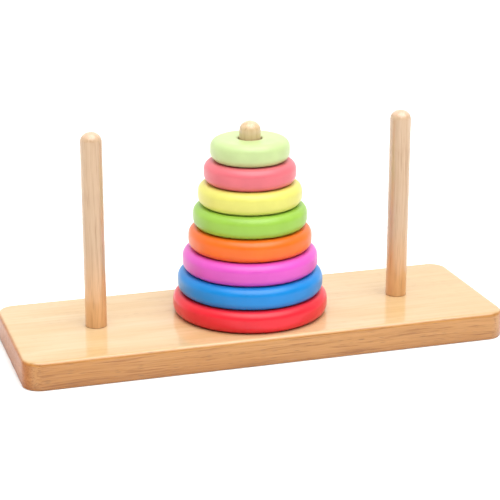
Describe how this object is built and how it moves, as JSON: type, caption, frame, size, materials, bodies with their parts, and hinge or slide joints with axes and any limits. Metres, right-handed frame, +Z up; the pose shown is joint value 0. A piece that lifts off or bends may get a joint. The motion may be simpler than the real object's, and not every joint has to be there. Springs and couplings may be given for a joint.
{
  "type": "tower of hanoi puzzle",
  "caption": "Tower of Hanoi puzzle: a lacquered wooden board with upright pegs and a tapering stack of painted wooden discs that lift off the centre peg.",
  "frame": {"origin": "centre of the board's underside", "axes": "+X along the board's length, +Y across it away from the player, +Z up along the pegs"},
  "size_m": [0.286, 0.099, 0.1305],
  "materials": {
    "board_wood": "satin clear lacquer over pale hardwood",
    "peg_wood": "satin clear lacquer over pale hardwood dowel",
    "paint_mint": "semi-gloss paint over turned wood",
    "paint_pink": "semi-gloss paint over turned wood",
    "paint_yellow": "semi-gloss paint over turned wood",
    "paint_green": "semi-gloss paint over turned wood",
    "paint_orange": "semi-gloss paint over turned wood",
    "paint_magenta": "semi-gloss paint over turned wood",
    "paint_blue": "semi-gloss paint over turned wood",
    "paint_red": "semi-gloss paint over turned wood"
  },
  "bodies": {
    "base": {"base_board": "board_wood", "peg_left": "peg_wood", "peg_centre": "peg_wood", "peg_right": "peg_wood"},
    "disc_8": {"disc_8_red": "paint_red"},
    "disc_7": {"disc_7_blue": "paint_blue"},
    "disc_6": {"disc_6_magenta": "paint_magenta"},
    "disc_5": {"disc_5_orange": "paint_orange"},
    "disc_4": {"disc_4_green": "paint_green"},
    "disc_3": {"disc_3_yellow": "paint_yellow"},
    "disc_2": {"disc_2_pink": "paint_pink"},
    "disc_1": {"disc_1_mint": "paint_mint"}
  },
  "joints": [
    {"name": "lift_disc_8", "type": "slide", "parent": "base", "child": "disc_8", "axis": [0, 0, 1], "range_m": [0, 0.12]},
    {"name": "lift_disc_7", "type": "slide", "parent": "disc_8", "child": "disc_7", "axis": [0, 0, 1], "range_m": [0, 0.107]},
    {"name": "lift_disc_6", "type": "slide", "parent": "disc_7", "child": "disc_6", "axis": [0, 0, 1], "range_m": [0, 0.094]},
    {"name": "lift_disc_5", "type": "slide", "parent": "disc_6", "child": "disc_5", "axis": [0, 0, 1], "range_m": [0, 0.081]},
    {"name": "lift_disc_4", "type": "slide", "parent": "disc_5", "child": "disc_4", "axis": [0, 0, 1], "range_m": [0, 0.068]},
    {"name": "lift_disc_3", "type": "slide", "parent": "disc_4", "child": "disc_3", "axis": [0, 0, 1], "range_m": [0, 0.055]},
    {"name": "lift_disc_2", "type": "slide", "parent": "disc_3", "child": "disc_2", "axis": [0, 0, 1], "range_m": [0, 0.042]},
    {"name": "lift_disc_1", "type": "slide", "parent": "disc_2", "child": "disc_1", "axis": [0, 0, 1], "range_m": [0, 0.029]}
  ]
}
